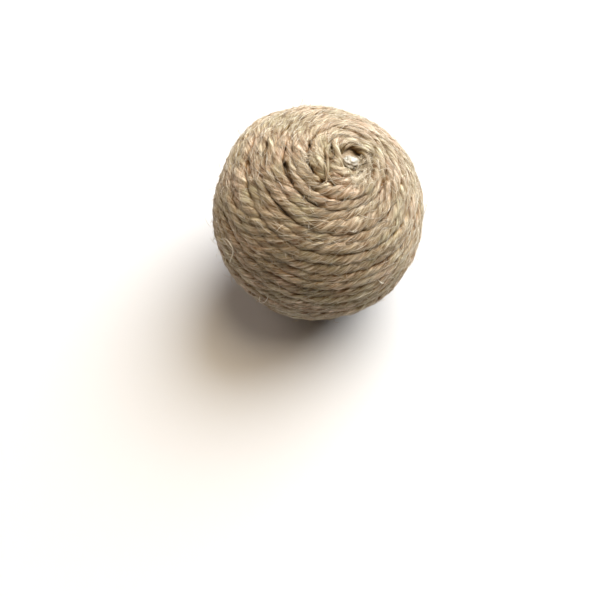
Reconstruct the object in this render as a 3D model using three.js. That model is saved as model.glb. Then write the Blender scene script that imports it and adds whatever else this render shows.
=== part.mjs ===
// A ball of jute twine, wound in one long spiral from pole to pole, with a dab of dried glue in
// the hollow at its upper pole. Millimetres, +Z up. The origin is the middle of the underside.
import * as THREE from "three";
import { mergeVertices } from "three/addons/utils/BufferGeometryUtils.js";

// The ball
const BALL_RADIUS = 30;
const FLAT_RADIUS = 8.5;
const FLAT_FADE_FROM = 17;
const FLAT_FADE_TO = 27;

// The winding: angles in degrees, a turn is one trip round the winding axis
const TURN_PITCH = 5.4;
const TURNS = 180 / TURN_PITCH;
const TURNS_PAST_POLE = 0.5;
const POLE_SHARPNESS = 1.5;
const ROWS_PER_TURN = 4;
const STEPS_PER_TURN = 40;
const SEAM_TURN = 160;
const FAN_MIDDLE = 0.8;
const DEEP_GROOVE = 1.15;
const SHALLOW_GROOVE = 0.5;
const DEEP_GROOVE_TURN = 4.9;
const GROOVE_SHARPNESS = 0.7;

// Hand winding: how far turns stray sideways, in degrees, and how high they ride, in millimetres.
// Each wave is counted in radians a turn.
const SLOW_STRAY = { size: 0.3, wave: 1.9, swing: 1.2 };
const QUICK_STRAY = { size: 0.16, wave: 3.1, lobes: 2 };
const TURN_RISE = { size: 0.22, wave: 2.3, lobes: 2 };
const STRAY_STARTS = 1;
const STRAY_IS_FULL = 4;

// The hollow at the upper pole, a little aside of the winding axis
const AXIS_BEARING = -34.3;
const AXIS_HEIGHT = 78.5;
const HOLLOW_BEARING = -16.4;
const HOLLOW_HEIGHT = 72.4;
const HOLLOW_REACH = 27;
const HOLLOW_DEPTH = 2.6;
const HOLLOW_FLOOR = 5.2;
const HOLLOW_RIM = 8.2;

// The dab of glue on the hollow's floor, aside of its middle
const DAB_BEARING = -24;
const DAB_HEIGHT = 72.7;
const DAB_LENGTH = 3.3;
const DAB_WIDTH = 2.8;
const DAB_THICKNESS = 1.3;
const DAB_CLEARANCE = 0.3;
const DAB_LUMP = { size: 0.12, waveX: 9, waveY: 8 };

// Swells and flats that keep the ball from being a true sphere
const SWELLS = [
  { name: "back left shoulder", bearing: 131, height: 29, rise: 1.25, spread: 20 },
  { name: "back right flat", bearing: 68, height: 34, rise: -0.6, spread: 16 },
  { name: "left flat", bearing: 168, height: 9, rise: -0.25, spread: 15 },
  { name: "right swell", bearing: 15, height: 10, rise: 0.4, spread: 15 },
  { name: "front low swell", bearing: -95, height: -8, rise: 0.35, spread: 24 },
  { name: "back low flat", bearing: 95, height: -15, rise: -0.4, spread: 22 },
];

const TWINE_COLOUR = 0xb59a74;
const GLUE_COLOUR = 0xe9e2d2;

const degrees = (angle) => (angle * Math.PI) / 180;

// A unit vector from its bearing, counted from +X towards +Y, and its height above the horizon.
function direction(bearing, height) {
  const level = Math.cos(degrees(height));
  const across = level * Math.cos(degrees(bearing));
  const away = level * Math.sin(degrees(bearing));
  return new THREE.Vector3(across, away, Math.sin(degrees(height)));
}

const WINDING_AXIS = direction(AXIS_BEARING, AXIS_HEIGHT);
const HOLLOW_AXIS = direction(HOLLOW_BEARING, HOLLOW_HEIGHT);
const DAB_AXIS = direction(DAB_BEARING, DAB_HEIGHT);
const FRONT = new THREE.Vector3(0, -1, 0);
const DOWN = new THREE.Vector3(0, 0, -1);

// The angle from the pole at a given number of turns: even in the middle, closing in at each pole.
function polarAngle(turn) {
  const closing = (count) => Math.log(1 + Math.exp(count * POLE_SHARPNESS)) / POLE_SHARPNESS;
  const upperHalf = turn < TURNS / 2;
  return upperHalf ? TURN_PITCH * closing(turn) : 180 - TURN_PITCH * closing(TURNS - turn);
}

// How far a turn strays from its even place, in degrees. Turns close to a pole keep theirs.
function stray(turn, round) {
  const slow = SLOW_STRAY.size * Math.sin(turn * SLOW_STRAY.wave + SLOW_STRAY.swing * Math.sin(round));
  const quick = QUICK_STRAY.size * Math.sin(turn * QUICK_STRAY.wave + QUICK_STRAY.lobes * round);
  const fromPole = Math.min(turn, TURNS - turn);
  return (slow + quick) * THREE.MathUtils.smoothstep(fromPole, STRAY_STARTS, STRAY_IS_FULL);
}

// How much higher a turn rides than its neighbours, in millimetres.
function rise(strand, round) {
  return TURN_RISE.size * Math.sin(strand * TURN_RISE.wave + Math.sin(TURN_RISE.lobes * round + strand));
}

// The three axes that a turn goes round: its own pole, the front and the side.
function turnFrame(polar) {
  const share = 1 - THREE.MathUtils.smoothstep(polar, 0, HOLLOW_REACH);
  const pole = WINDING_AXIS.clone().lerp(HOLLOW_AXIS, share).normalize();
  const front = FRONT.clone().addScaledVector(pole, -FRONT.dot(pole)).normalize();
  const side = pole.clone().cross(front);
  return { pole, front, side };
}

// The direction in which a point of the winding lies, seen from the ball's centre.
function windingDirection(polar, round) {
  const { pole, front, side } = turnFrame(polar);
  const out = Math.sin(degrees(polar));
  return pole
    .multiplyScalar(Math.cos(degrees(polar)))
    .addScaledVector(front, out * Math.cos(round))
    .addScaledVector(side, -out * Math.sin(round));
}

// How far the swells and flats move the surface in one direction, in millimetres.
function swellAt(heading) {
  let total = 0;
  for (const swell of SWELLS) {
    const angle = THREE.MathUtils.radToDeg(heading.angleTo(direction(swell.bearing, swell.height)));
    total += swell.rise * Math.exp(-((angle / swell.spread) ** 2));
  }
  return total;
}

// The depth of the groove nearest to a row: every second groove is deep.
function grooveDepth(turn) {
  const deep = 0.5 + 0.5 * Math.cos(Math.PI * (turn - DEEP_GROOVE_TURN));
  return THREE.MathUtils.lerp(SHALLOW_GROOVE, DEEP_GROOVE, deep);
}

// One point of the wound surface, at a row across the turns and a step round the axis.
function windingPoint(row, step) {
  const turn = row / ROWS_PER_TURN + step / STEPS_PER_TURN - TURNS_PAST_POLE;
  const round = degrees((360 * step) / STEPS_PER_TURN - SEAM_TURN);
  const polar = polarAngle(turn) + stray(turn, round);
  const heading = windingDirection(polar, round);

  const place = (row % ROWS_PER_TURN) / ROWS_PER_TURN;
  const nearestGroove = turn - place + Math.round(place);
  const bulge = Math.sin(Math.PI * place) ** GROOVE_SHARPNESS;
  const relief = rise(turn - place, round) - grooveDepth(nearestGroove) * (1 - bulge);

  const fromDown = THREE.MathUtils.radToDeg(heading.angleTo(DOWN));
  const clearOfFlat = THREE.MathUtils.smoothstep(fromDown, FLAT_FADE_FROM, FLAT_FADE_TO);
  const clearOfHollow = THREE.MathUtils.smoothstep(polar, HOLLOW_FLOOR, HOLLOW_RIM);
  const shaped = (swellAt(heading) + relief * clearOfHollow) * clearOfFlat;
  const radius = BALL_RADIUS + shaped - HOLLOW_DEPTH * (1 - clearOfHollow);
  return seatOnFlat(heading.multiplyScalar(radius));
}

// The ball has settled on a small round flat.
function seatOnFlat(point) {
  const flatLevel = -Math.sqrt(BALL_RADIUS ** 2 - FLAT_RADIUS ** 2);
  if (point.z < flatLevel) point.z = flatLevel;
  return point;
}

// A strip that winds round the ball like peel, closed by a small fan of triangles at each pole.
// The end of each row runs on into the start of the row one turn further on.
function woundBall() {
  const rows = Math.round((TURNS + 2 * TURNS_PAST_POLE - 1) * ROWS_PER_TURN);
  const points = [];
  const numbers = new Map();

  function number(row, step) {
    if (step === STEPS_PER_TURN) return number(row + ROWS_PER_TURN, 0);
    const key = `${row}:${step}`;
    if (!numbers.has(key)) {
      numbers.set(key, points.length);
      points.push(windingPoint(row, step));
    }
    return numbers.get(key);
  }

  // The middle of a pole's fan lies between two opposite points of the last row.
  function poleNumber(row) {
    const oneSide = windingPoint(row, Math.round(STEPS_PER_TURN * FAN_MIDDLE));
    const otherSide = windingPoint(row, Math.round(STEPS_PER_TURN * (FAN_MIDDLE - 0.5)));
    points.push(seatOnFlat(oneSide.lerp(otherSide, 0.5)));
    return points.length - 1;
  }

  const triangles = [];
  for (let row = 0; row < rows; row += 1) {
    for (let step = 0; step < STEPS_PER_TURN; step += 1) {
      const here = number(row, step);
      const onward = number(row, step + 1);
      const across = number(row + 1, step + 1);
      const below = number(row + 1, step);
      triangles.push(here, onward, across, here, across, below);
    }
  }

  const top = poleNumber(0);
  const bottom = poleNumber(rows);
  for (let step = 0; step < STEPS_PER_TURN; step += 1) {
    triangles.push(top, number(0, step + 1), number(0, step));
    triangles.push(bottom, number(rows, step), number(rows, step + 1));
  }
  for (let row = 0; row < ROWS_PER_TURN; row += 1) {
    triangles.push(top, number(row, 0), number(row + 1, 0));
    triangles.push(bottom, number(rows + row + 1, 0), number(rows + row, 0));
  }

  const geometry = new THREE.BufferGeometry().setFromPoints(points);
  geometry.setIndex(triangles);
  geometry.computeVertexNormals();
  return geometry;
}

// A lumpy flattened drop, made round its own middle with its thickness along Z.
function glueDrop() {
  const drop = new THREE.SphereGeometry(0.5, 18, 12);
  drop.deleteAttribute("normal");
  drop.deleteAttribute("uv");
  const geometry = mergeVertices(drop, 1e-4);
  const place = geometry.getAttribute("position");
  for (let index = 0; index < place.count; index += 1) {
    const x = place.getX(index);
    const y = place.getY(index);
    const z = place.getZ(index);
    const waves = Math.sin(DAB_LUMP.waveX * x) + Math.cos(DAB_LUMP.waveY * y);
    const girth = 1 + DAB_LUMP.size * waves * (0.25 - z * z);
    place.setXYZ(index, x * DAB_LENGTH * girth, y * DAB_WIDTH * girth, z * DAB_THICKNESS);
  }
  geometry.computeVertexNormals();
  return geometry;
}

const part = new THREE.Group();

const twineMaterial = new THREE.MeshStandardMaterial({ color: TWINE_COLOUR, roughness: 0.95, metalness: 0 });
const twineBall = new THREE.Mesh(woundBall(), twineMaterial);
twineBall.name = "twine_ball";
twineBall.geometry.computeBoundingBox();
const box = twineBall.geometry.boundingBox;
const centre = new THREE.Vector3(-(box.min.x + box.max.x) / 2, -(box.min.y + box.max.y) / 2, -box.min.z);
twineBall.position.copy(centre);
part.add(twineBall);

const glueMaterial = new THREE.MeshStandardMaterial({ color: GLUE_COLOUR, roughness: 0.25, metalness: 0 });
const glueDab = new THREE.Mesh(glueDrop(), glueMaterial);
glueDab.name = "glue_dab";
const floorRadius = BALL_RADIUS - HOLLOW_DEPTH;
glueDab.position.copy(DAB_AXIS).multiplyScalar(floorRadius + DAB_CLEARANCE + DAB_THICKNESS / 2).add(centre);
glueDab.quaternion.setFromUnitVectors(new THREE.Vector3(0, 0, 1), DAB_AXIS);
part.add(glueDab);

export default part;
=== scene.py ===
# %% [markdown]
# # A ball of jute twine
# A craft ball of coarse jute twine, 60 mm across. One length of twine runs in a spiral from the
# upper pole to the lower one, and a dab of dried glue holds its inner end in a small hollow.
# We build the twine as real geometry, lay loose fibres on it, and finish with jute and glue.

# %% Load the measured model
import math

import bmesh
import bpy
import numpy as np
from mathutils import Matrix, Vector
from mathutils.bvhtree import BVHTree


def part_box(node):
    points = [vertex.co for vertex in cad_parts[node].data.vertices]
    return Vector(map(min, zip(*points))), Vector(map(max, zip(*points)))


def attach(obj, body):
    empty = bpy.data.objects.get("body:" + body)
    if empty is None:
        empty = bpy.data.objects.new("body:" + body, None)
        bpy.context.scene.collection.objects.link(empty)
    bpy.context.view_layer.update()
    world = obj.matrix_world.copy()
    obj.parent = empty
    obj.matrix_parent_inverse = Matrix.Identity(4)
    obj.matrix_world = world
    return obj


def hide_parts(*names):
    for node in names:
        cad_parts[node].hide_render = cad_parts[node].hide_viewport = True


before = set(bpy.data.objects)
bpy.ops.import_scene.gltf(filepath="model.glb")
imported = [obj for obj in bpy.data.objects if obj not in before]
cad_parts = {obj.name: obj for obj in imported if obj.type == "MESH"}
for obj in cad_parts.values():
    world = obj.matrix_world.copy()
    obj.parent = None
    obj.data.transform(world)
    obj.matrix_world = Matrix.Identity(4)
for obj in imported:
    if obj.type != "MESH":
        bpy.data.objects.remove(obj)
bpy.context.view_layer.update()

MM = 0.001

# %% [markdown]
# ## The winding
# A ball wound by hand is a sphere peeled like an orange: the twine keeps going round an axis
# while it creeps from one pole to the other. The measured model follows a few plain formulas,
# and the twine has to lie on the same turns, so we write those formulas again, for whole arrays
# of points at once. Angles are in degrees and lengths in millimetres until a mesh is made.

# %% Sizes of the winding
BALL_RADIUS = 30.0
FLAT_RADIUS = 8.5
FLAT_FADE = (17.0, 27.0)
TURN_PITCH = 5.4
TURNS = 180.0 / TURN_PITCH
TURNS_PAST_POLE = 0.5
POLE_SHARPNESS = 1.5
STRAY_SLOW = 0.3
STRAY_QUICK = 0.16
RISE = 0.22
ROWS_PER_TURN = 4
STEPS_PER_TURN = 40
SEAM_TURN = 160.0
DEEP_GROOVE_TURN = 4.9
GROOVES = (0.5, 1.15)
GROOVE_SHARPNESS = 0.7

HOLLOW_REACH = 27.0
HOLLOW_DEPTH = 2.6
HOLLOW_FLOOR = 5.2
HOLLOW_RIM = 8.2

SWELLS = [
    ("back left shoulder", 131, 29, 1.25, 20),
    ("back right flat", 68, 34, -0.6, 16),
    ("left flat", 168, 9, -0.25, 15),
    ("right swell", 15, 10, 0.4, 15),
    ("front low swell", -95, -8, 0.35, 24),
    ("back low flat", 95, -15, -0.4, 22),
]


def direction(bearing, height):
    """A unit vector from a bearing, counted from +X towards +Y, and a height above the horizon."""
    level = math.cos(math.radians(height))
    across = level * math.cos(math.radians(bearing))
    away = level * math.sin(math.radians(bearing))
    return np.array([across, away, math.sin(math.radians(height))])


WINDING_AXIS = direction(-34.3, 78.5)
HOLLOW_AXIS = direction(-16.4, 72.4)
FRONT = np.array([0.0, -1.0, 0.0])

# %% Formulas of the winding
def smoothstep(value, low, high):
    """0 below low, 1 above high, with a soft start and end."""
    share = np.clip((value - low) / (high - low), 0, 1)
    return share * share * (3 - 2 * share)


def unit(vectors):
    """The same directions with a length of 1."""
    return vectors / np.linalg.norm(vectors, axis=-1, keepdims=True)


def turned(first, second, angle):
    """Directions turned by an angle from the first towards the second."""
    return first * np.cos(angle)[..., None] + second * np.sin(angle)[..., None]


def polar_angle(turn):
    """The angle from the upper pole after this many turns: even, but closing in at each pole."""
    def closing(count):
        return np.logaddexp(0, count * POLE_SHARPNESS) / POLE_SHARPNESS
    lower = 180 - TURN_PITCH * closing(TURNS - turn)
    return np.where(turn < TURNS / 2, TURN_PITCH * closing(turn), lower)


def stray(turn, round_):
    """How far a turn lies off its even place, in degrees."""
    slow = STRAY_SLOW * np.sin(turn * 1.9 + 1.2 * np.sin(round_))
    quick = STRAY_QUICK * np.sin(turn * 3.1 + 2 * round_)
    return (slow + quick) * smoothstep(np.minimum(turn, TURNS - turn), 1, 4)


def rise(strand, round_):
    """How much higher a turn rides than its neighbours, in millimetres."""
    return RISE * np.sin(strand * 2.3 + np.sin(2 * round_ + strand))


def heading(polar, round_):
    """The direction of a point of the winding, seen from the ball's centre."""
    share = (1 - smoothstep(polar, 0, HOLLOW_REACH))[..., None]
    pole = unit(WINDING_AXIS * (1 - share) + HOLLOW_AXIS * share)
    front = unit(FRONT - pole * (pole @ FRONT)[..., None])
    level = turned(front, np.cross(front, pole), round_)
    return turned(pole, level, np.radians(polar))


def degrees_from(cosine):
    """The angle, in degrees, of a cosine that rounding may have pushed past 1."""
    return np.degrees(np.arccos(np.clip(cosine, -1, 1)))


def swell(way):
    """How far the ball's swells and flats move its surface, in millimetres."""
    total = np.zeros(way.shape[:-1])
    for _, bearing, height, lift, spread in SWELLS:
        angle = degrees_from(way @ direction(bearing, height))
        total += lift * np.exp(-((angle / spread) ** 2))
    return total


def clear_of_flat(way):
    """0 over the flat underside and 1 away from it."""
    return smoothstep(degrees_from(-way[..., 2]), *FLAT_FADE)


# %% [markdown]
# ### Where the ball's centre is
# The measured model stands with the middle of its box at zero. We make the same wound surface
# here, look at its box, and so learn where the centre of the ball lies.

# %% The wound surface and the ball's centre
def wound_surface(rows_per_turn, steps):
    """Points of the wound surface, a row across the turns and a step round the axis."""
    rows = round(TURNS * rows_per_turn)
    row, step = np.meshgrid(np.arange(rows + 1), np.arange(steps), indexing="ij")
    turn = row / rows_per_turn + step / steps - TURNS_PAST_POLE
    round_ = np.radians(360 * step / steps - SEAM_TURN)
    polar = polar_angle(turn) + stray(turn, round_)
    way = heading(polar, round_)
    place = (row % rows_per_turn) / rows_per_turn
    groove_turn = turn - place + np.floor(place + 0.5)
    deep = 0.5 + 0.5 * np.cos(np.pi * (groove_turn - DEEP_GROOVE_TURN))
    depth = GROOVES[0] + (GROOVES[1] - GROOVES[0]) * deep
    bulge = np.sin(np.pi * place) ** GROOVE_SHARPNESS
    relief = rise(turn - place, round_) - depth * (1 - bulge)
    clear = smoothstep(polar, HOLLOW_FLOOR, HOLLOW_RIM)
    radius = BALL_RADIUS + (swell(way) + relief * clear) * clear_of_flat(way)
    return way * (radius - HOLLOW_DEPTH * (1 - clear))[..., None]


surface = wound_surface(ROWS_PER_TURN, STEPS_PER_TURN).reshape(-1, 3)
FLAT_LEVEL = math.sqrt(BALL_RADIUS ** 2 - FLAT_RADIUS ** 2)
middle = (surface.min(0) + surface.max(0)) / 2
CENTRE = np.array([-middle[0], -middle[1], FLAT_LEVEL])
print("ball centre, mm:", CENTRE.round(3))

# %% [markdown]
# ## The path of the twine
# The twine's middle line runs between two grooves of that surface. We walk along it in steps of
# equal length, because the twist is counted along the twine and not by turns. Each point gets a
# small frame: up away from the ball, across towards the lower pole, and along the twine.

# %% Twine sizes
TWINE_HEIGHT = 1.34
TWINE_STEP = 0.62
LAY_LENGTH = 13.0
LAY_VARIES = 0.28
FIRST_TURN = 1.35
LAST_TURN = TURNS - 1.3
PAIR_SHIFT = 0.40
LOOSE_ASIDE = 0.42
LOOSE_LIFT = 0.20
CALM_TURNS = (2.0, 5.0)
END_TUCK = 2.2
END_TUCK_TURNS = 0.3


def wandering(length, reach, seed):
    """A smooth random curve between -1 and 1, along a length, that changes over about reach."""
    knots = np.random.default_rng(seed).uniform(-1, 1, int(length.max() / reach) + 4)
    place = length / reach
    low = np.floor(place).astype(int)
    share = place - low
    share = share * share * (3 - 2 * share)
    return knots[low] * (1 - share) + knots[low + 1] * share


def twine_point(turn):
    """The middle of the twine and the direction up away from the ball, at this many turns."""
    round_ = 2 * np.pi * turn - math.radians(SEAM_TURN)
    calm = smoothstep(np.minimum(turn, TURNS - turn), *CALM_TURNS)
    pairing = PAIR_SHIFT * np.sin(np.pi * (turn - DEEP_GROOVE_TURN))
    pairing = pairing * (0.9 + 0.7 * wandering(turn, 0.17, 5))
    aside = pairing + LOOSE_ASIDE * wandering(turn, 0.06, 6)
    way = heading(polar_angle(turn) + stray(turn, round_) + aside * calm, round_)
    lift = rise(turn - 0.5, round_) + LOOSE_LIFT * wandering(turn, 0.055, 7)
    crest = BALL_RADIUS + (lift + swell(way)) * clear_of_flat(way)
    tuck = 1 - smoothstep(turn, FIRST_TURN, FIRST_TURN + END_TUCK_TURNS)
    tuck = tuck + smoothstep(turn, LAST_TURN - END_TUCK_TURNS, LAST_TURN)
    return way * (crest - TWINE_HEIGHT - END_TUCK * tuck)[..., None], way


# %% Walk along the twine
WALK_STEPS = 80000


def length_along(points):
    """How far each point of a path lies from its start."""
    steps = np.linalg.norm(np.diff(points, axis=0), axis=1)
    return np.concatenate([[0], np.cumsum(steps)])


many = np.linspace(FIRST_TURN, LAST_TURN, WALK_STEPS)
gone = length_along(twine_point(many)[0])
TWINE_LENGTH = float(gone[-1])
along = np.arange(0, TWINE_LENGTH, TWINE_STEP)
turn_at = np.interp(along, gone, many)
twine_middle, twine_up = twine_point(turn_at)
onward = unit(np.gradient(twine_middle, axis=0))
twine_across = unit(np.cross(twine_up, onward))
lay = 1 + LAY_VARIES * wandering(along, 45, 1)
twist = np.cumsum(2 * np.pi * TWINE_STEP / (LAY_LENGTH * lay))
print("twine that shows, m:", round(TWINE_LENGTH / 1000, 2), "in", len(along), "steps")

# %% Room beside the twine
NOMINAL_ROOM = BALL_RADIUS * math.radians(TURN_PITCH)
ROOM_LIMITS = (0.82, 1.4)
ROOM_SMOOTHING = 25


def room_beside(turn):
    """How far apart the neighbouring turns lie, as a share of the usual spacing."""
    before = twine_point(np.clip(turn - 1, FIRST_TURN - 0.4, None))[0]
    after = twine_point(np.clip(turn + 1, None, LAST_TURN + 0.4))[0]
    apart = np.linalg.norm(after - before, axis=1)
    share = apart / (2 * NOMINAL_ROOM)
    ends = (turn < FIRST_TURN + 0.6) | (turn > LAST_TURN - 0.6)
    return np.clip(np.where(ends, 1.0, share), *ROOM_LIMITS)


smooth = np.ones(ROOM_SMOOTHING) / ROOM_SMOOTHING
room = np.pad(room_beside(turn_at), ROOM_SMOOTHING // 2, "edge")
room = np.convolve(room, smooth, "valid")
print("room beside the twine:", room.min().round(2), "to", room.max().round(2))

# %% [markdown]
# ## The shape of the twine
# Three plies are twisted round each other. Seen end on, the twine's outline is the outer edge of
# three circles that overlap, and the outline turns as we go along. We could make three tubes,
# but most of their faces would be hidden inside. One skin over all three needs fewer faces, and
# its points turn with the plies, so the creases between plies stay sharp.

# %% The outline of three plies
PLY_RADIUS = 1.08
PLY_OFFSET = 0.38
SQUASH_UP = 0.90
SQUASH_ACROSS = 1.14
PRESSED = 0.68
SIDE_LOBES = 0.65
MEAN_REACH = 1.38
TABLE_GIVE = 0.35

ply_radius = [PLY_RADIUS * (1 + 0.09 * wandering(along, 9, 11 + ply)) for ply in range(3)]
ply_offset = [PLY_OFFSET * (1 + 0.45 * wandering(along, 17, 21 + ply)) for ply in range(3)]
thickness = 1 + 0.08 * wandering(along, 29, 31) + 0.05 * wandering(along, 9, 32)


def at_length(values, length):
    """Values that are known at each step along the twine, read at any length."""
    if values.ndim == 1:
        return np.interp(length, along, values)
    return np.stack([np.interp(length, along, column) for column in values.T], -1)


def outline_radius(angle, length):
    """The distance from the twine's middle to its skin, at an angle round it."""
    reach = np.zeros(np.broadcast(angle, length).shape)
    spun = at_length(twist, length)
    for ply in range(3):
        offset = at_length(ply_offset[ply], length)
        radius = at_length(ply_radius[ply], length)
        off = angle - spun - ply * 2 * np.pi / 3
        aside = np.clip(offset * np.sin(off), -radius, radius)
        reach = np.maximum(reach, offset * np.cos(off) + np.sqrt(radius ** 2 - aside ** 2))
    return reach * at_length(thickness, length)


def settle(points):
    """Presses what would lie below the table softly up to it."""
    settled = points.copy()
    above = (points[..., 2] + FLAT_LEVEL) / TABLE_GIVE
    pressed = np.where(above < 12, np.logaddexp(0, above), above)
    settled[..., 2] = TABLE_GIVE * pressed - FLAT_LEVEL
    return settled


def on_twine(angle, length, lift=0.0):
    """A point on the twine's skin, or lift above it, about the ball's centre."""
    reach = outline_radius(angle, length)
    reach = reach + SIDE_LOBES * (reach - MEAN_REACH) * np.abs(np.sin(angle)) + lift
    pressed = np.sign(np.cos(angle)) * np.abs(np.cos(angle)) ** PRESSED
    up = at_length(twine_up, length) * (reach * pressed * SQUASH_UP)[..., None]
    wide = SQUASH_ACROSS * at_length(room, length)
    across = at_length(twine_across, length) * (reach * np.sin(angle) * wide)[..., None]
    return at_length(twine_middle, length) + up + across


# %% [markdown]
# ### From points to a mesh
# Python lists of a few hundred thousand faces are slow, so we hand whole arrays to Blender with
# foreach_set. All meshes here are made of triangles, which keeps the arrays simple. A tube gets
# two maps: one in real lengths along and round the twine, which the streaks follow, and one
# that lays all the faces side by side without overlap, for baking.

# %% Mesh helpers
MAP_MARGIN = 0.06


def new_object(name, data):
    """Puts a mesh, a lamp or a camera into the scene as an object."""
    made = bpy.data.objects.new(name, data)
    bpy.context.collection.objects.link(made)
    return made


def mesh_object(name, points, triangles, maps, values):
    """A smooth triangle mesh from arrays, points in millimetres about the ball's centre."""
    mesh = bpy.data.meshes.new(name)
    mesh.vertices.add(len(points))
    mesh.vertices.foreach_set("co", ((points + CENTRE) * MM).astype(np.float32).ravel())
    mesh.loops.add(3 * len(triangles))
    mesh.loops.foreach_set("vertex_index", triangles.astype(np.int32).ravel())
    mesh.polygons.add(len(triangles))
    mesh.polygons.foreach_set("loop_start", np.arange(0, 3 * len(triangles), 3, dtype=np.int32))
    mesh.polygons.foreach_set("use_smooth", np.ones(len(triangles), dtype=bool))
    for map_name, corners in maps.items():
        layer = mesh.uv_layers.new(name=map_name)
        layer.data.foreach_set("uv", corners.astype(np.float32).ravel())
    for value_name, numbers in values.items():
        attribute = mesh.attributes.new(value_name, "FLOAT", "POINT")
        attribute.data.foreach_set("value", numbers.astype(np.float32).ravel())
    mesh.update(calc_edges=True)
    print(name, "has", len(triangles), "triangles")
    return new_object(name, mesh)


def tube_faces(rings, sides):
    """The triangles of a closed tube, facing out, and the walls' corners as (ring, side)."""
    ring, side = np.meshgrid(np.arange(rings - 1), np.arange(sides), indexing="ij")
    ring = ring.reshape(-1, 1)
    side = side.reshape(-1, 1)
    half = np.stack([ring + [0, 1, 0], side + [0, 1, 1]], 2)
    other_half = np.stack([ring + [0, 1, 1], side + [0, 0, 1]], 2)
    corners = np.concatenate([half, other_half])
    walls = corners[..., 0] * sides + corners[..., 1] % sides
    side = np.arange(sides)
    after = (side + 1) % sides
    tips = rings * sides
    end = tips - sides
    first_fan = np.stack([np.full(sides, tips), side, after], 1)
    last_fan = np.stack([np.full(sides, tips + 1), end + after, end + side], 1)
    return np.concatenate([walls, first_fan, last_fan]), corners


corner_dice = np.random.default_rng(20)


def tube_maps(corners, count, sides, lengths, girth):
    """The map for baking, in rows of a tube's rings, and the map in real lengths."""
    ring = corners[..., 0]
    round_it = corners[..., 1] / sides
    per_row = math.ceil(count / math.sqrt(count * TWINE_STEP / girth))
    rows = math.ceil((count - 1) / per_row)
    row = ring.min(axis=1, keepdims=True) // per_row
    share = MAP_MARGIN + (1 - 2 * MAP_MARGIN) * round_it
    bake = np.stack([(ring - row * per_row) / per_row, (row + share) / rows], -1)
    return bake, np.stack([lengths[ring] * MM, round_it * girth * MM], -1)


def tube_object(name, rings, lengths, girth, depth):
    """A closed tube through rings of points (rings, sides, 3), with its depth in the creases."""
    count, sides = rings.shape[:2]
    triangles, corners = tube_faces(count, sides)
    bake, real = tube_maps(corners, count, sides, lengths, girth)
    # The ends are hidden, so their faces share one corner of the map.
    scatter = corner_dice.uniform(-1e-3, 0, (2 * sides, 3, 2)) * [-1, 1]
    maps = {
        "OFBake": np.concatenate([bake, [0.0, 1.0] + scatter]),
        "fibre": np.concatenate([real, np.zeros((2 * sides, 3, 2))]),
    }
    points = np.concatenate([rings.reshape(-1, 3), [rings[0].mean(0), rings[-1].mean(0)]])
    depths = np.concatenate([depth.ravel(), [depth[0].mean(), depth[-1].mean()]])
    return mesh_object(name, points, triangles, maps, {"depth": depths})


# %% [markdown]
# ### Where plies have parted
# Round the hollow the plies have come apart in a few places, and dark slits and a small hole
# show between them. We press the skin in along short curves, so the slits are real dents that
# catch shade from any side. A row gives half a slit's width, its depth, and the bearings and
# heights that it passes.

# %% Parted plies
PARTINGS = [
    ("left arm of the fork", 0.34, 1.9, [(9.4, 84.1), (-39.1, 83.3), (-60.8, 80.0)]),
    ("right arm of the fork", 0.32, 1.9, [(-24.4, 83.5), (-36.0, 81.6), (-42.9, 79.6)]),
    ("below the fork", 0.30, 1.7, [(-72.7, 76.1), (-72.8, 73.8), (-72.1, 71.7)]),
    ("small hole", 0.45, 2.3, [(-88.2, 70.1), (-86.5, 69.4)]),
    ("left of the flat plies", 0.24, 0.8, [(-119.3, 78.3), (-107.8, 76.2), (-99.3, 74.1)]),
    ("behind the flat plies", 0.26, 0.8, [(-136.5, 82.7), (-128.7, 80.7), (-120.7, 79.3)]),
    ("under the glue", 0.42, 1.5, [(-31.5, 69.6), (-29.3, 68.5), (-24.3, 67.9)]),
    ("right of the hollow", 0.46, 2.2, [(-8.8, 63.3), (-11.6, 62.6), (-14.7, 61.8)]),
    ("right, lower", 0.46, 2.2, [(-21.1, 61.6), (-24.4, 61.1), (-28.3, 60.4)]),
    ("right, higher", 0.42, 2.0, [(0.0, 64.7), (-1.6, 63.4), (-3.8, 62.2)]),
    ("far right", 0.50, 2.3, [(-12.6, 55.8), (-15.1, 54.3), (-17.5, 52.9)]),
    ("far right, lower", 0.46, 2.2, [(-20.4, 54.4), (-23.1, 54.0), (-26.1, 53.5)]),
    ("behind the hollow", 0.44, 2.0, [(23.6, 59.4), (18.6, 58.9), (12.3, 58.6)]),
    ("back, left", 0.24, 0.8, [(70.0, 79.8), (60.0, 77.8), (51.4, 75.5)]),
    ("left shoulder", 0.46, 1.3, [(178.5, 51.0), (-171.7, 51.8), (-163.3, 51.1)]),
    ("left shoulder, higher", 0.42, 1.3, [(171.0, 62.5), (-170.1, 62.2), (-155.4, 59.6)]),
    ("left, high", 0.40, 1.2, [(-147.9, 70.6), (-133.5, 68.3), (-122.7, 65.8)]),
]
PARTING_POINTS = 16


def smooth_curve(knots, count):
    """Points evenly along a curve that passes through the knots."""
    knots = np.array(knots, dtype=float)
    ends = np.concatenate([[2 * knots[0] - knots[1]], knots, [2 * knots[-1] - knots[-2]]])
    share = np.linspace(0, 1, 20)[:, None]
    points = []
    for first, here, there, last in zip(ends[:-3], ends[1:-2], ends[2:-1], ends[3:]):
        points.append(
            here * (2 * share ** 3 - 3 * share ** 2 + 1)
            + (there - first) / 2 * (share ** 3 - 2 * share ** 2 + share)
            + there * (3 * share ** 2 - 2 * share ** 3)
            + (last - here) / 2 * (share ** 3 - share ** 2)
        )
    points = np.concatenate(points)
    walked = length_along(points)
    even = np.linspace(0, walked[-1], count)
    return np.stack([np.interp(even, walked, column) for column in points.T], -1)


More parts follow.
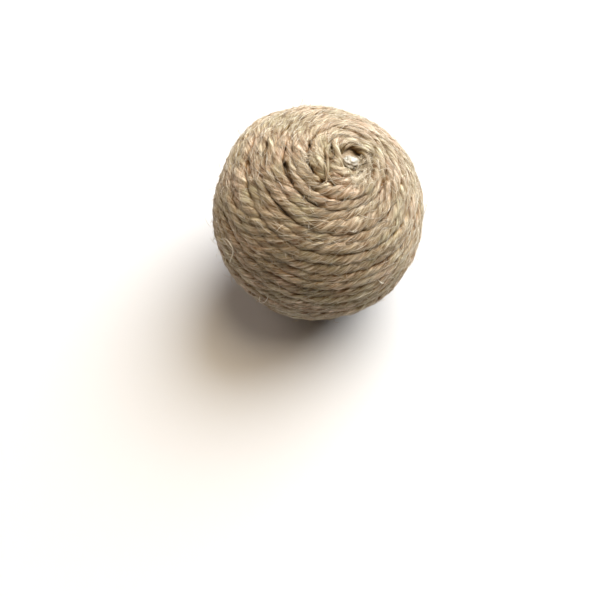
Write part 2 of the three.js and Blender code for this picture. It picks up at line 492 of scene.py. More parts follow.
def parted(points):
    """Presses the skin in along the partings. Points are about the ball's centre."""
    ways = unit(points)
    dent = np.zeros(points.shape[:-1])
    for _, half_width, depth, places in PARTINGS:
        line = unit(smooth_curve([direction(*place) for place in places], PARTING_POINTS))
        closest = (ways @ line.T).max(-1)
        apart = BALL_RADIUS * np.sqrt(np.clip(2 - 2 * closest, 0, None))
        dent = np.maximum(dent, depth * np.exp(-((apart / half_width) ** 4)))
    return points - ways * dent[..., None]


# %% [markdown]
# ### The skin of the twine
# Jute isn't smooth: each ply is a bundle of coarse fibres, so the skin is raised and sunk a few
# hundredths of a millimetre in ridges that run with the plies. The twine has too many faces for
# one piece, so it is cut into an upper and a lower stretch, which meet behind the ball.

# %% Twine skin
SIDES = 24
RIDGE = 0.13
BUNDLES = ((5.5, 0, 1, 0.50), (2.1, 100, 1, 0.30), (1.4, 200, 3, 0.45))
TWINE_GIRTH = 2 * np.pi * (PLY_RADIUS + PLY_OFFSET)
BALL_MIDDLE_TURN = TURNS / 2 + 0.03


def bundle_ridges(lengths, sides, seed):
    """Ridges of fibre bundles: smooth random curves along each side of the skin, or each few."""
    ridges = np.zeros((len(lengths), sides))
    for side in range(sides):
        for reach, more, wide, height in BUNDLES:
            ridges[:, side] += height * wandering(lengths, reach, seed + more + side // wide)
    return ridges


def twine_stretch(name, keep):
    """One stretch of the twine's skin as an object."""
    lengths = along[keep]
    angle = at_length(twist, lengths)[:, None] + 2 * np.pi * np.arange(SIDES) / SIDES
    length = np.broadcast_to(lengths[:, None], angle.shape)
    ridges = RIDGE * bundle_ridges(along, SIDES, 200)[keep]
    rings = parted(on_twine(angle, length, ridges))
    crest = np.linalg.norm(twine_middle[keep], axis=1)[:, None] + TWINE_HEIGHT
    depth = (crest - np.linalg.norm(rings, axis=2)) / (2 * TWINE_HEIGHT)
    return tube_object(name, settle(rings), lengths, TWINE_GIRTH, depth)


upper_keep = np.flatnonzero(turn_at <= BALL_MIDDLE_TURN)
lower_keep = np.flatnonzero(turn_at >= turn_at[upper_keep[-1]])
twine_upper = twine_stretch("twine_upper", upper_keep)
twine_lower = twine_stretch("twine_lower", lower_keep)

# %% [markdown]
# ### The turns beneath
# Where two turns lie apart, older turns show in the gap. They are only seen as brown shade, so
# a lumpy ball a little smaller than the twine's middle line is enough.

# %% Turns beneath
BENEATH_RADIUS = BALL_RADIUS - 1.9
BENEATH_SINK = 0.5
BENEATH_RELIEF = 0.25
BENEATH_AXIS = direction(40, 20)
BENEATH_LEVEL = 0.6
PIT_DEPTH = 0.8
PIT_AXIS = direction(6.0, 70.5)
PIT_REACH = (1.2, 4.2)


def lump(name, place_points):
    """A smooth closed lump: a fine round mesh whose points a formula puts in place."""
    shape = bmesh.new()
    bmesh.ops.create_icosphere(shape, subdivisions=5, radius=1.0)
    shape.verts.index_update()
    ways = np.array([corner.co for corner in shape.verts])
    triangles = np.array([[corner.index for corner in face.verts] for face in shape.faces])
    shape.free()
    return mesh_object(name, place_points(ways), triangles, {}, {})


def points_beneath(way):
    """Points of the turns beneath, with a pit under the hollow and a flat underside."""
    way = unit(way)
    pit = 1 - smoothstep(degrees_from(way @ PIT_AXIS), *PIT_REACH)
    cut = BENEATH_SINK + PIT_DEPTH * pit
    turns = BENEATH_RELIEF * np.sin(degrees_from(way @ BENEATH_AXIS) * 2 * np.pi / TURN_PITCH)
    radius = BENEATH_RADIUS + swell(way) * clear_of_flat(way) + turns - cut
    points = settle(way * radius[:, None])
    points[:, 2] = np.maximum(points[:, 2], BENEATH_LEVEL - FLAT_LEVEL)
    return points


turns_beneath = lump("turns_beneath", points_beneath)

# %% [markdown]
# ## Loose fibres
# Jute is hairy. Most loose fibres lie close to the twine, along its plies or across a crease,
# and a few stand off the ball in long curls. Blender's hair would not leave as a mesh, so each
# fibre is a thin three-sided tube that tapers to a point at both ends.

# %% Fibre mesh
FIBRE_SIDES = 3


def tip_map(tip, rim, near, far):
    """Map corners of the triangles round a fibre's tip."""
    places = [(tip, (near + far) / 2), (rim, near), (rim, far)]
    corners = [np.stack([np.full(FIBRE_SIDES, x), y / FIBRE_SIDES], 1) for x, y in places]
    return np.stack(corners, 1)


def fibre_map(corners, rings):
    """The corners of one fibre's triangles in a map of 1 by 1."""
    turn = np.arange(FIBRE_SIDES)
    walls = np.stack([(corners[..., 0] + 1) / (rings + 1), corners[..., 1] / FIBRE_SIDES], -1)
    first = tip_map(0.02, 1 / (rings + 1), turn, turn + 1)
    last = tip_map(0.98, rings / (rings + 1), turn + 1, turn)
    return np.concatenate([walls, first, last])


def fibre_object(name, paths, radius, tint):
    """Fibres from paths (fibres, points, 3). The first and last points are the tips."""
    fibres, count = paths.shape[:2]
    body = paths[:, 1:-1]
    rings = count - 2
    ahead = unit(paths[:, 2:] - paths[:, :-2])
    side = unit(np.cross(ahead, unit(body)))
    out = np.cross(side, ahead)
    taper = np.sin(np.pi * (np.arange(rings) + 0.9) / (rings + 0.8)) ** 0.5
    girth = radius[:, None, None, None] * taper[:, None, None]
    angle = 2 * np.pi * np.arange(FIBRE_SIDES) / FIBRE_SIDES
    ring = body[:, :, None] + turned(out[:, :, None], side[:, :, None], angle) * girth
    points = np.concatenate([ring.reshape(fibres, -1, 3), paths[:, :1], paths[:, -1:]], 1)
    each = points.shape[1]

    one, corners = tube_faces(rings, FIBRE_SIDES)
    triangles = one + each * np.arange(fibres)[:, None, None]
    columns = math.ceil(math.sqrt(fibres * 0.8))
    cell = np.stack([np.arange(fibres) % columns, np.arange(fibres) // columns], 1)
    cells = np.array([columns, math.ceil(fibres / columns)])
    one_map = MAP_MARGIN + (1 - 2 * MAP_MARGIN) * fibre_map(corners, rings)
    maps = {"OFBake": ((cell[:, None, None] + one_map) / cells).reshape(-1, 3, 2)}
    points = settle(points).reshape(-1, 3)
    tints = {"tint": np.repeat(tint, each)}
    return mesh_object(name, points, triangles.reshape(-1, 3), maps, tints)


# %% Fibres that lie along the plies
LYING_FIBRES = 4000
LYING_POINTS = 7
LYING_LENGTH = (2.2, 7.0)
LYING_RADIUS = (0.03, 0.08)
FRAYED_SHARE = 0.12
LAST_FIBRE = TWINE_LENGTH - 8


def lying_fibres(name, count, seed, low, high):
    """Fibres laid on the twine's skin over a stretch of its length, along the plies."""
    dice = np.random.default_rng(seed)
    start = dice.uniform(low, high, count)
    size = dice.uniform(*LYING_LENGTH, count)
    share = np.linspace(0, 1, LYING_POINTS)
    length = np.clip(start[:, None] + size[:, None] * share, 0, along[-1])
    middle_angle = dice.normal(0, 0.75, count)
    pace = dice.uniform(-0.15, 1.15, count) * 2 * np.pi / LAY_LENGTH
    angle = middle_angle[:, None] + pace[:, None] * (size[:, None] * (share - 0.5))
    sway = 0.16 * dice.normal(0, 1, (count, 1))
    angle = angle + sway * np.sin(2 * np.pi * share + dice.uniform(0, 6, (count, 1)))
    loose = dice.gamma(1.3, 0.045, (count, 1))
    lift = 0.01 + loose * np.sin(np.pi * share) ** 0.8
    frayed = dice.choice([0, 1], (count, 1), p=[1 - FRAYED_SHARE, FRAYED_SHARE])
    lift = lift + frayed * share ** 2 * dice.uniform(0.1, 0.6, (count, 1))
    radius = dice.uniform(*LYING_RADIUS, count)
    paths = parted(on_twine(angle, length, lift))
    return fibre_object(name, paths, radius, dice.uniform(0, 1, count))


lying_count = LYING_FIBRES
upper_length = float(along[upper_keep[-1]])
fibres_upper = lying_fibres("fibres_upper", lying_count, 41, 0, upper_length)
fibres_lower = lying_fibres("fibres_lower", lying_count, 42, upper_length, LAST_FIBRE)

# %% [markdown]
# Other fibres have worked loose and lie across the turns. They are stretched over the creases
# like a string over hills, so each first has to know how high the twine is below it. A search
# tree of the twine's faces answers that quickly.

# %% How high the twine is
LOOK_FROM = 40
LOOK_REACH = 14
FIBRE_SAG = 0.015
TIGHTENINGS = 8


def skin_tree(pieces):
    """A search tree of the faces of some pieces, in millimetres about the ball's centre."""
    points = []
    faces = []
    for piece in pieces:
        mesh = piece.data
        place = np.zeros(3 * len(mesh.vertices))
        mesh.vertices.foreach_get("co", place)
        corners = np.zeros(3 * len(mesh.polygons), dtype=np.int32)
        mesh.loops.foreach_get("vertex_index", corners)
        faces += (corners.reshape(-1, 3) + len(points)).tolist()
        points += (place.reshape(-1, 3) / MM - CENTRE).tolist()
    return BVHTree.FromPolygons(points, faces)


skin = skin_tree([twine_upper, twine_lower])


def skin_height(ways):
    """The distance from the ball's centre to its skin, along unit vectors."""
    heights = []
    for way in unit(ways).reshape(-1, 3):
        hit = skin.ray_cast(Vector(way * LOOK_FROM), Vector(-way))[3]
        heights.append(LOOK_FROM - hit if hit and hit < LOOK_REACH else BENEATH_RADIUS)
    return np.array(heights).reshape(ways.shape[:-1])


def stretched_over(heights, sag):
    """Heights of a fibre that lies on the given heights and spans the hollows between them."""
    taut = heights.copy()
    for _ in range(TIGHTENINGS):
        taut[:, 1:-1] = np.maximum(taut[:, 1:-1], (taut[:, :-2] + taut[:, 2:]) / 2 - sag)
    return taut


# %% Fibres across the turns
CROSSING_FIBRES = 2700
CROSSING_POINTS = 9
CROSSING_RADIUS = (0.03, 0.07)
STEEP_SHARE = 0.2


def crossing_fibres(name, middles, aheads, size, bend, radius, tint):
    """Fibres over the ball's skin, from their middles and the directions in which they run."""
    share = np.linspace(-0.5, 0.5, CROSSING_POINTS)[None, :, None]
    middles = unit(middles) * BALL_RADIUS
    aside = np.cross(unit(middles), aheads)
    run = size[:, None, None] * share
    flat = middles[:, None] + aheads[:, None] * run
    flat = flat + aside[:, None] * bend[:, None, None] * run ** 2
    heights = stretched_over(skin_height(flat), FIBRE_SAG) + radius[:, None] * 0.6
    heights[:, [0, -1]] -= 0.12
    return fibre_object(name, unit(flat) * heights[..., None], radius, tint)


def scattered_fibres(name, count, seed, low, high):
    """Loose fibres over a stretch of the twine, most of them nearly in line with it."""
    dice = np.random.default_rng(seed)
    length = dice.uniform(low, high, count)
    across = at_length(twine_across, length)
    ahead = at_length(onward, length)
    middles = at_length(twine_middle, length) + across * dice.uniform(-1.4, 1.4, (count, 1))
    steep = dice.uniform(0, 1, count) < STEEP_SHARE
    slant = np.where(steep, dice.uniform(-1.5, 1.5, count), dice.normal(0.25, 0.42, count))
    course = turned(ahead, across, slant)
    size = 1.6 + dice.gamma(2.2, 1.3, count)
    bend = dice.normal(0, 0.05, count)
    radius = dice.uniform(*CROSSING_RADIUS, count)
    tint = dice.uniform(0.1, 1, count)
    return crossing_fibres(name, middles, course, size, bend, radius, tint)


crossing_count = CROSSING_FIBRES
loose_upper = scattered_fibres("loose_upper", crossing_count, 43, 4, upper_length)
loose_lower = scattered_fibres("loose_lower", crossing_count, 44, upper_length, LAST_FIBRE)

# %% [markdown]
# ### Undone twine by the hollow
# Round the hollow single plies have come out of the twine and lie beside each other like leaves.
# Each is a short tube, thick in the middle, that lies on the turns and sinks in at both ends.
# A row gives a ply's width, its lift off the turns and the bearings and heights it passes.

# %% Loose plies by the hollow
PLY_SIDES = 12
PLY_POINTS = 26
PLY_TWIST = 0.45
PLY_FLATNESS = 0.75
LOOSE_PLIES = [
    ("inner_end", 2.6, -0.45, [
        (-46, 70.5), (-39.7, 69.1), (-32.6, 67.1), (-23.1, 65.9),
        (-12.7, 65.7), (-3.7, 66.3), (3, 68),
    ]),
    ("far_wall", 1.8, -0.35, [
        (-12.7, 79.1), (7.1, 77.6), (16.1, 73.9), (14.7, 70.4), (7.7, 68.1), (-2.3, 66.9),
    ]),
    ("long_ply", 0.8, 0.35, [(-33.5, 87.1), (-61.1, 83.6), (-70, 79.4), (-75.6, 74.9), (-78.9, 70.1)]),
    ("broad_ply", 1.6, 0.35, [(41, 83.2), (-6.1, 83), (-31.8, 79.6), (-43.4, 76), (-48.9, 72)]),
    ("thin_ply", 0.6, 0.5, [(-80.8, 79.6), (-78.4, 75.5), (-79.0, 71.7), (-80.8, 67.5)]),
    ("flat_ply", 1.9, 0.25, [
        (-159.1, 85.8), (-112.0, 84.3), (-90.6, 80.3), (-83.3, 76.2), (-81.4, 73.1),
    ]),
    ("back_ply", 1.2, 0.30, [(178.8, 82.9), (153.6, 83.3), (126.2, 81.6)]),
]


def loose_ply(name, width, lift, places, seed):
    """A single ply, thick in the middle and pointed at both ends, that lies on the twine."""
    path = smooth_curve([direction(*place) * BALL_RADIUS for place in places], PLY_POINTS)
    heights = stretched_over(skin_height(path)[None], 0.0)[0]
    share = np.linspace(0, 1, PLY_POINTS)
    sink = 0.9 * (1 - np.sin(np.pi * share) ** 0.35)
    middle = unit(path) * (heights - 0.30 * width + lift - sink)[:, None]
    ahead = unit(np.gradient(middle, axis=0))
    across = unit(np.cross(unit(middle), ahead))
    up = np.cross(ahead, across)
    lengths = length_along(middle)
    angle = 2 * np.pi * np.arange(PLY_SIDES) / PLY_SIDES + PLY_TWIST * lengths[:, None]
    ridges = 1 + 0.16 * bundle_ridges(lengths, PLY_SIDES, seed)
    reach = width / 2 * (0.12 + 0.88 * np.sin(np.pi * share) ** 0.6)[:, None] * ridges
    ring = turned(up[:, None] * PLY_FLATNESS, across[:, None], angle)
    rings = middle[:, None] + ring * reach[..., None]
    return tube_object(name, rings, lengths, math.pi * width, np.zeros(rings.shape[:2]))


loose_plies = [loose_ply(*row, 400 + 10 * number) for number, row in enumerate(LOOSE_PLIES)]
skin = skin_tree([twine_upper, twine_lower, *loose_plies])

# %% [markdown]
# In a few places the fibres are ruffled into a small mat. They lie in every direction, so they
# are scattered round a point by chance, and stretched over the twine and the loose plies.

# %% Ruffled fibres by the hollow
RUFFLES = [
    ("in front of the hollow", direction(-40, 64.5), 220, 1.15),
    ("on the inner end", direction(-22, 66.5), 130, 1.0),
    ("right of the hollow", direction(-8, 66.5), 40, 0.8),
    ("left of the flat ply", direction(-125, 81), 110, 0.9),
]


def east_and_north(ways):
    """Two directions along the ball's skin, from places on it."""
    east = unit(np.cross([0.0, 0.0, 1.0], ways))
    return east, np.cross(unit(ways), east)


def ruffled_fibres():
    """Short thick fibres in every direction, in small mats."""
    dice = np.random.default_rng(45)
    middles = []
    for _, way, count, spread in RUFFLES:
        east, north = east_and_north(way)
        drift = dice.normal(0, spread, (count, 2))
        middles.append(way * BALL_RADIUS + east * drift[:, :1] + north * drift[:, 1:])
    middles = np.concatenate(middles)
    count = len(middles)
    spin = dice.uniform(0, np.pi, count)
    east, north = east_and_north(middles)
    course = turned(east, north, spin)
    size = dice.uniform(0.8, 2.6, count)
    bend = dice.normal(0, 0.35, count)
    radius = dice.uniform(0.05, 0.11, count)
    tint = dice.uniform(0.3, 1, count)
    return crossing_fibres("ruffled_fibres", middles, course, size, bend, radius, tint)


ruffled = ruffled_fibres()

# %% [markdown]
# ### Stray hairs and curls
# Stray hairs start in a crease, rise off the ball and bend over. Their curl grows towards the
# tip, because the root is held by the twist. A few long, thick curls catch the eye, so those
# are laid one by one. A row gives a curl's radius and its bearings, heights and lifts.

# %% Stray hairs
STRAY_HAIRS = 1800
HAIR_POINTS = 10
HAIR_LEAN = (0.15, 1.0)
HAIR_RADIUS = (0.03, 0.07)


def stray_hairs(name, count, seed):
    """Hairs that stand off the ball, each a curve that bends more and more."""
    dice = np.random.default_rng(seed)
    length = dice.uniform(0, LAST_FIBRE, count)
    angle = dice.normal(0, 0.6, count)
    root = on_twine(angle, length, -0.05)
    up = at_length(twine_up, length)
    ahead = at_length(onward, length)
    across = at_length(twine_across, length)
    size = 0.8 + dice.gamma(1.6, 0.8, count)
    lean = dice.uniform(*HAIR_LEAN, count)
    sweep = dice.uniform(0, 2 * np.pi, count)
    level = turned(ahead, across, sweep)
    bend = dice.normal(0, 1.1, count)
    tip_bend = dice.normal(0, 1.3, count)
    beside = np.cross(up, level)
    share = np.linspace(0, 1, HAIR_POINTS)
    paths = [root]
    for here, there in zip(share[:-1], share[1:]):
        middle = (here + there) / 2
        climb = lean * (1 - 0.9 * middle)
        aside = bend * middle + tip_bend * middle ** 2
        way = turned(turned(level, beside, aside), up, climb)
        paths.append(paths[-1] + way * (size * (there - here))[:, None])
    radius = dice.uniform(*HAIR_RADIUS, count)
    return fibre_object(name, np.stack(paths, 1), radius, dice.uniform(0.3, 1, count))


hairs = stray_hairs("stray_hairs", STRAY_HAIRS, 51)

# %% Long curls
CURL_POINTS = 18
CURL_SINK = 0.1
CURLS = [
    ("left curl", 0.15, [
        (-152.2, 11.9, 0), (-145.7, 18.8, 0.4), (-140.3, 19.1, 0.6),
        (-138.6, 16.4, 0.7), (-139.3, 10.1, 0.5), (-142.3, 2.1, 0.1),
    ]),
    ("low curl", 0.11, [
        (-116.9, 3.6, 0), (-119.4, -2.9, 0.5), (-120.3, -10.8, 0.8),
        (-117.1, -8.8, 0.9), (-114.2, -0.7, 0.7), (-114.6, 4.1, 0.1),
    ]),
    ("front hook", 0.17, [(-55.2, 10.5, 0.1), (-54.1, 8.1, 0.35), (-52.3, 5.5, 0.4), (-50.3, 4.1, 0.1)]),
    ("right curl", 0.05, [(-25, 2, 0), (-22, 6, 0.9), (-17, 7, 1.3), (-14, 3, 0.9), (-16, -2, 0)]),
    ("back curl", 0.05, [(95, 20, 0), (101, 25, 1), (108, 25, 1.4), (111, 20, 1), (108, 14, 0)]),
    ("far curl", 0.05, [(175, 30, 0), (180, 34, 0.9), (-174, 33, 1.3), (-172, 27, 0.8), (-176, 22, 0)]),
]


def long_curls():
    """The long curls, both ends of each held by the twine."""
    paths = []
    for _, _, places in CURLS:
        ways = np.array([direction(*place[:2]) for place in places])
        heights = skin_height(ways) - CURL_SINK + np.array(places)[:, 2]
        paths.append(smooth_curve(ways * heights[:, None], CURL_POINTS))
    radius = np.array([radius for _, radius, _ in CURLS])
    # Painted light in part: every long curl takes the palest straw, so it shows up out of the shade it
    # lies in.
    return fibre_object("long_curls", np.stack(paths), radius, np.ones(len(CURLS)))


curls = long_curls()

# %% [markdown]
# ## The dab of glue
# Craft glue dries to a milky, glossy drop. It keeps the place of the measured dab, with a
# finer, lumpier skin. Waves in random directions, each set shorter and lower than the last,
# make the lumps.

# %% Glue
GLUE_HALF = np.array([1.95, 1.75, 0.8])
GLUE_WAVES = ((2.2, 0.13), (4.0, 0.09), (7.5, 0.055), (13.0, 0.03))


def points_of_glue(way):
    """Points of the dab: a flattened drop with lumps, where the measured dab lies."""
    low, high = [np.array(corner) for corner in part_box("glue_dab")]
    middle = (low + high) / 2 / MM - CENTRE
    up = unit(middle)
    front = unit(FRONT - up * (up @ FRONT))
    side = np.cross(up, front)
    dice = np.random.default_rng(61)
    lumps = np.ones(len(way))
    for waves, size in GLUE_WAVES:
        for _ in range(3):
            course = unit(dice.normal(0, 1, 3))
            lumps += size * np.sin(way @ course * waves + dice.uniform(0, 6)) / 1.5
    local = way * GLUE_HALF * lumps[:, None]
    return middle + local[:, :1] * side + local[:, 1:2] * front + local[:, 2:] * up


glue = lump("glue", points_of_glue)

# %% [markdown]
# ## Jute
# Jute is pale straw with darker and lighter fibres in it; its palest flecks are painted highlights.
# The streaks run along the twine, so they are drawn in the map that counts real lengths. Broad
# patches of warmer and greener straw come from the ball's own space, and creases are painted
# darker and browner, as painted shade.

# %% Material helpers
def start_material(name):
    """A new material, its nodes' tree and its shader."""
    material = bpy.data.materials.new(name)
    material.use_nodes = True
    return material, material.node_tree, material.node_tree.nodes["Principled BSDF"]


def add_node(tree, kind, **settings):
    """A node with its settings."""
    node = tree.nodes.new(kind)
    for key, value in settings.items():
        setattr(node, key, value)
    return node


def set_sockets(node, **values):
    """Sets sockets, named with _ for a space, to values or to what other nodes give."""
    for key, value in values.items():
        socket = node.inputs[key.replace("_", " ")]
        if isinstance(value, bpy.types.NodeSocket):
            node.id_data.links.new(value, socket)
        else:
            socket.default_value = value


def ramp_colour(tree, value, stops):
    """Colours for a value from 0 to 1, from a list of places and colours."""
    node = add_node(tree, "ShaderNodeValToRGB")
    elements = node.color_ramp.elements
    while len(elements) < len(stops):
        elements.new(0.5)
    for element, (place, colour) in zip(elements, stops):
        element.position = place
        element.color = (*colour, 1)
    set_sockets(node, Fac=value)
    return node.outputs["Color"]


def noise(tree, vector, scale, detail, roughness=0.5):
    """Cloudy values. A scale of three numbers stretches them along the axes."""
    if isinstance(scale, tuple):
        stretch = add_node(tree, "ShaderNodeVectorMath", operation="MULTIPLY")
        tree.links.new(vector, stretch.inputs[0])
        stretch.inputs[1].default_value = scale
        vector = stretch.outputs["Vector"]
        scale = 1.0
    node = add_node(tree, "ShaderNodeTexNoise")
    set_sockets(node, Vector=vector, Scale=scale, Detail=detail, Roughness=roughness)
    return node.outputs["Fac"]


def multiplied(tree, product, *colours):
    """Colours multiplied with each other."""
    for colour in colours:
        node = add_node(tree, "ShaderNodeMix", data_type="RGBA", blend_type="MULTIPLY")
        node.inputs[0].default_value = 1.0
        into = {socket.identifier: socket for socket in node.inputs}
        tree.links.new(product, into["A_Color"])
        tree.links.new(colour, into["B_Color"])
        product = next(out for out in node.outputs if out.identifier == "Result_Color")
    return product


def bumped(tree, height, strength, distance, normal=None):
    """A normal that follows small heights, at most a distance in millimetres."""
    node = add_node(tree, "ShaderNodeBump")
    set_sockets(node, Height=height, Strength=strength, Distance=distance * MM)
    if normal:
        set_sockets(node, Normal=normal)
    return node.outputs["Normal"]


# %% Jute for the twine
def jute_material():
    """Jute with streaks and flecks along the twine, painted highlights in the palest flecks and painted
    shade in the creases.
    """
    material, tree, shader = start_material("jute")
    real = add_node(tree, "ShaderNodeUVMap", uv_map="fibre").outputs["UV"]
    place = add_node(tree, "ShaderNodeTexCoord").outputs["Object"]
    depth = add_node(tree, "ShaderNodeAttribute", attribute_name="depth").outputs["Fac"]

    fine = noise(tree, real, (260, 6500, 1), 3, 0.6)
    broad = noise(tree, real, (110, 1500, 1), 2)
    flecks = noise(tree, real, (300, 850, 1), 2, 0.6)
    patches = noise(tree, place, 130, 2)
    streak = ramp_colour(tree, fine, [
        (0.25, (0.25, 0.16, 0.08)),
        (0.42, (0.42, 0.33, 0.22)),
        (0.58, (0.51, 0.43, 0.32)),
        (0.75, (0.64, 0.59, 0.49)),
    ])
    bundle = ramp_colour(tree, broad, [(0.36, (0.62, 0.54, 0.44)), (0.64, (1.16, 1.16, 1.14))])
    straw = ramp_colour(tree, patches, [(0.36, (0.88, 0.92, 0.82)), (0.64, (1.11, 1.00, 0.99))])
    # The flecks are darker and paler fibres; the last stop, brighter than white and bluish, is painted
    # highlight: glints of lustre on the plies' crests.
    fleck_and_glint = ramp_colour(tree, flecks, [
        (0.37, (0.46, 0.35, 0.21)),
        (0.46, (0.94, 0.92, 0.90)),
        (0.53, (1, 1, 1)),
        (0.62, (1.44, 1.54, 1.70)),
    ])
    # Painted shade: the deeper a point lies in a crease or slit, the darker and browner it is painted.
    crease = ramp_colour(tree, depth, [
        (0.14, (1, 1, 1)),
        (0.36, (0.80, 0.67, 0.49)),
        (0.65, (0.58, 0.42, 0.20)),
    ])
    colour = multiplied(tree, streak, bundle, straw, fleck_and_glint, crease)
    normal = bumped(tree, fine, 0.9, 0.12)
    normal = bumped(tree, broad, 0.7, 0.22, normal)
    set_sockets(shader, Base_Color=colour, Normal=normal, Roughness=0.52)
    set_sockets(shader, Specular_IOR_Level=0.5, Sheen_Weight=0.12, Sheen_Roughness=0.5)
    return material


# %% Jute for loose fibres and for the turns beneath
def fibre_material():
    """Loose fibres, each of one colour from dark to pale straw."""
    material, tree, shader = start_material("jute_fibre")
    tint = add_node(tree, "ShaderNodeAttribute", attribute_name="tint").outputs["Fac"]
    colour = ramp_colour(tree, tint, [
        (0.0, (0.27, 0.18, 0.085)),
        (0.4, (0.49, 0.40, 0.285)),
        (0.85, (0.64, 0.57, 0.45)),
        # The palest stop is partly pale fibre and partly painted light: the long curls all take it, so
        # that they stand out of the shade they lie in.
        (1.0, (0.92, 0.87, 0.76)),
    ])
    set_sockets(shader, Base_Color=colour, Roughness=0.55, Specular_IOR_Level=0.4)
    return material


def beneath_material():
    """The turns beneath: brown jute with faint streaks, painted a little darker than the twine as shade
    in the gaps.
    """
    material, tree, shader = start_material("jute_beneath")
    place = add_node(tree, "ShaderNodeTexCoord").outputs["Object"]
    streaks = noise(tree, place, (300, 2400, 2400), 3)
    # Painted shade: these colours are darker than the twine's own jute, to stand for the shade in the
    # gaps between turns.
    colour = ramp_colour(tree, streaks, [(0.3, (0.25, 0.18, 0.11)), (0.7, (0.45, 0.35, 0.245))])
    normal = bumped(tree, streaks, 0.8, 0.2)
    set_sockets(shader, Base_Color=colour, Normal=normal, Roughness=0.85)
    return material


jute = jute_material()
fibre = fibre_material()
plies = [twine_upper, twine_lower, *loose_plies]
fibres = [fibres_upper, fibres_lower, loose_upper, loose_lower, ruffled, hairs, curls]
for piece in plies:
    piece.data.materials.append(jute)
for piece in fibres:
    piece.data.materials.append(fibre)
turns_beneath.data.materials.append(beneath_material())
print("jute on", len(plies) + len(fibres) + 1, "pieces")

# %% [markdown]
# ## Glue finish
# A milky solid with a hard, wet gloss reads as dried glue. Small bumps break the highlight,
# and it is darker where the glue is thin and jute shows through.

# %% Glue material
def glue_material():
    """Dried glue, milky and glossy."""
    material, tree, shader = start_material("dried_glue")
    place = add_node(tree, "ShaderNodeTexCoord").outputs["Object"]
    cloud = noise(tree, place, 650, 4, 0.65)
    colour = ramp_colour(tree, cloud, [
        (0.38, (0.33, 0.28, 0.21)),
        (0.50, (0.44, 0.39, 0.32)),
        (0.62, (0.56, 0.56, 0.49)),
    ])
    normal = bumped(tree, noise(tree, place, 1100, 3), 1.0, 0.32)
    set_sockets(shader, Base_Color=colour, Normal=normal)
    set_sockets(shader, Roughness=0.26, Specular_IOR_Level=0.55)
    return material


glue.data.materials.append(glue_material())

# %% [markdown]
# ## Tie the pieces to the measured model
# Every piece rides on the model's one body. The twine stands for the wound solid, and the glue
# for the measured dab.

# %% Ride and replace
for piece in (*plies, turns_beneath, *fibres):
    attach(piece, "root")
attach(glue, "root")
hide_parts("twine_ball")
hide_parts("glue_dab")

# %% [markdown]
# ## Table, light and camera
# A plain white table, a large soft window lamp high behind on the right, a warm lamp overhead
# and a weak one on the left, in a dim warm room with a pale wall. The camera looks steeply
# down, as over the edge of a table.

# %% Table
TABLE_HALF = 2.0


def table():
    """A flat white table under the ball."""
    mesh = bpy.data.meshes.new("table")
    corners = np.array([(-1, -1, 0), (1, -1, 0), (1, 1, 0), (-1, 1, 0)]) * TABLE_HALF
    mesh.from_pydata(corners.tolist(), [], [(0, 1, 2, 3)])
    material, _, shader = start_material("white_table")
    set_sockets(shader, Base_Color=(0.63, 0.62, 0.62, 1), Roughness=0.8, Specular_IOR_Level=0.2)
    mesh.materials.append(material)
    return new_object("table", mesh)


table()

# %% Lights
LAMP_DISTANCE = 2.0


def soft_lamp(name, way, size, power, colour):
    """A round lamp that shines at the ball from a given side."""
    lamp = bpy.data.lights.new(name, "AREA")
    lamp.shape = "DISK"
    lamp.size = size
    lamp.energy = power
    lamp.color = colour
    made = new_object(name, lamp)
    way = Vector(way).normalized()
    made.location = Vector(CENTRE * MM) + way * LAMP_DISTANCE
    made.rotation_euler = way.to_track_quat("Z", "Y").to_euler()
    print(name, "shines with", power, "watts")


soft_lamp("window", (0.48, 0.60, 0.64), 2.2, 86, (0.74, 0.86, 1.0))
soft_lamp("ceiling", (0.35, 0.30, 0.89), 2.2, 57, (1.0, 0.85, 0.63))
soft_lamp("side_wall", (-0.75, 0.3, 0.6), 1.6, 13, (1.0, 0.85, 0.74))

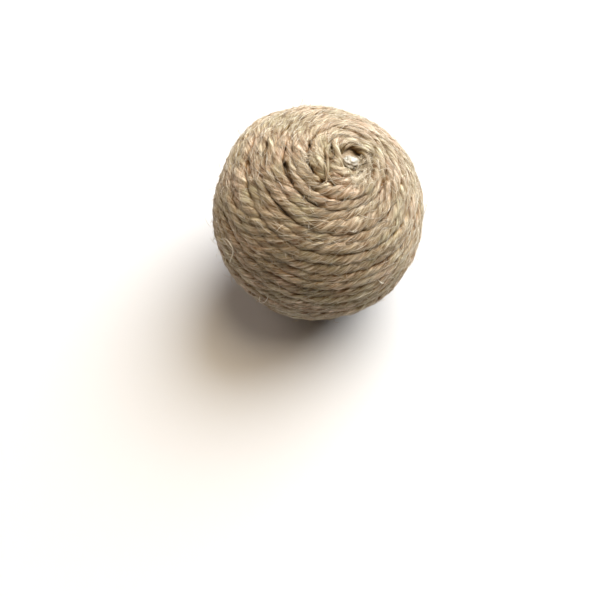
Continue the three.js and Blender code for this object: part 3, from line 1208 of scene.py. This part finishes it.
# %% Room
def room():
    """A room that glows dimly and warmly, with a pale wall where it is looked at directly."""
    world = bpy.data.worlds.new("room")
    world.use_nodes = True
    tree = world.node_tree
    glow = tree.nodes["Background"]
    set_sockets(glow, Color=(1.0, 0.84, 0.66, 1), Strength=0.035)
    wall = add_node(tree, "ShaderNodeBackground")
    set_sockets(wall, Color=(0.90, 0.90, 0.90, 1))
    either = add_node(tree, "ShaderNodeMixShader")
    set_sockets(either, Fac=add_node(tree, "ShaderNodeLightPath").outputs["Is Camera Ray"])
    tree.links.new(glow.outputs["Background"], either.inputs[1])
    tree.links.new(wall.outputs["Background"], either.inputs[2])
    tree.links.new(either.outputs["Shader"], tree.nodes["World Output"].inputs["Surface"])
    return world


bpy.context.scene.world = room()
bpy.context.scene.view_settings.view_transform = "Standard"

# %% Camera
PICTURE_SIZE = 600
BALL_IN_PICTURE = (317.4, 214.9)
FOCAL_PIXELS = 616.0
CAMERA_DISTANCE = 6.0 * BALL_RADIUS * MM
CAMERA_HEIGHT = math.radians(54)
SENSOR = 36.0


def camera():
    """A camera that sees the ball from a given height, at its place in the picture."""
    right = (BALL_IN_PICTURE[0] - PICTURE_SIZE / 2) / FOCAL_PIXELS
    up = (PICTURE_SIZE / 2 - BALL_IN_PICTURE[1]) / FOCAL_PIXELS
    sight = Vector((0, math.cos(CAMERA_HEIGHT), -math.sin(CAMERA_HEIGHT)))
    ahead = 1 / math.sqrt(1 + right * right + up * up)
    yaw = math.asin(right * ahead / sight.y)
    pitch = math.atan2(-sight.z, sight.y * math.cos(yaw)) + math.atan(up)
    lens = bpy.data.cameras.new("camera")
    lens.sensor_width = SENSOR
    lens.lens = FOCAL_PIXELS / PICTURE_SIZE * SENSOR
    lens.clip_start = 0.01
    made = new_object("camera", lens)
    made.location = Vector(CENTRE * MM) - sight * CAMERA_DISTANCE
    turn = Matrix.Rotation(yaw, 4, "Z") @ Matrix.Rotation(math.pi / 2 - pitch, 4, "X")
    made.rotation_euler = turn.to_euler()
    return made


bpy.context.scene.camera = camera()
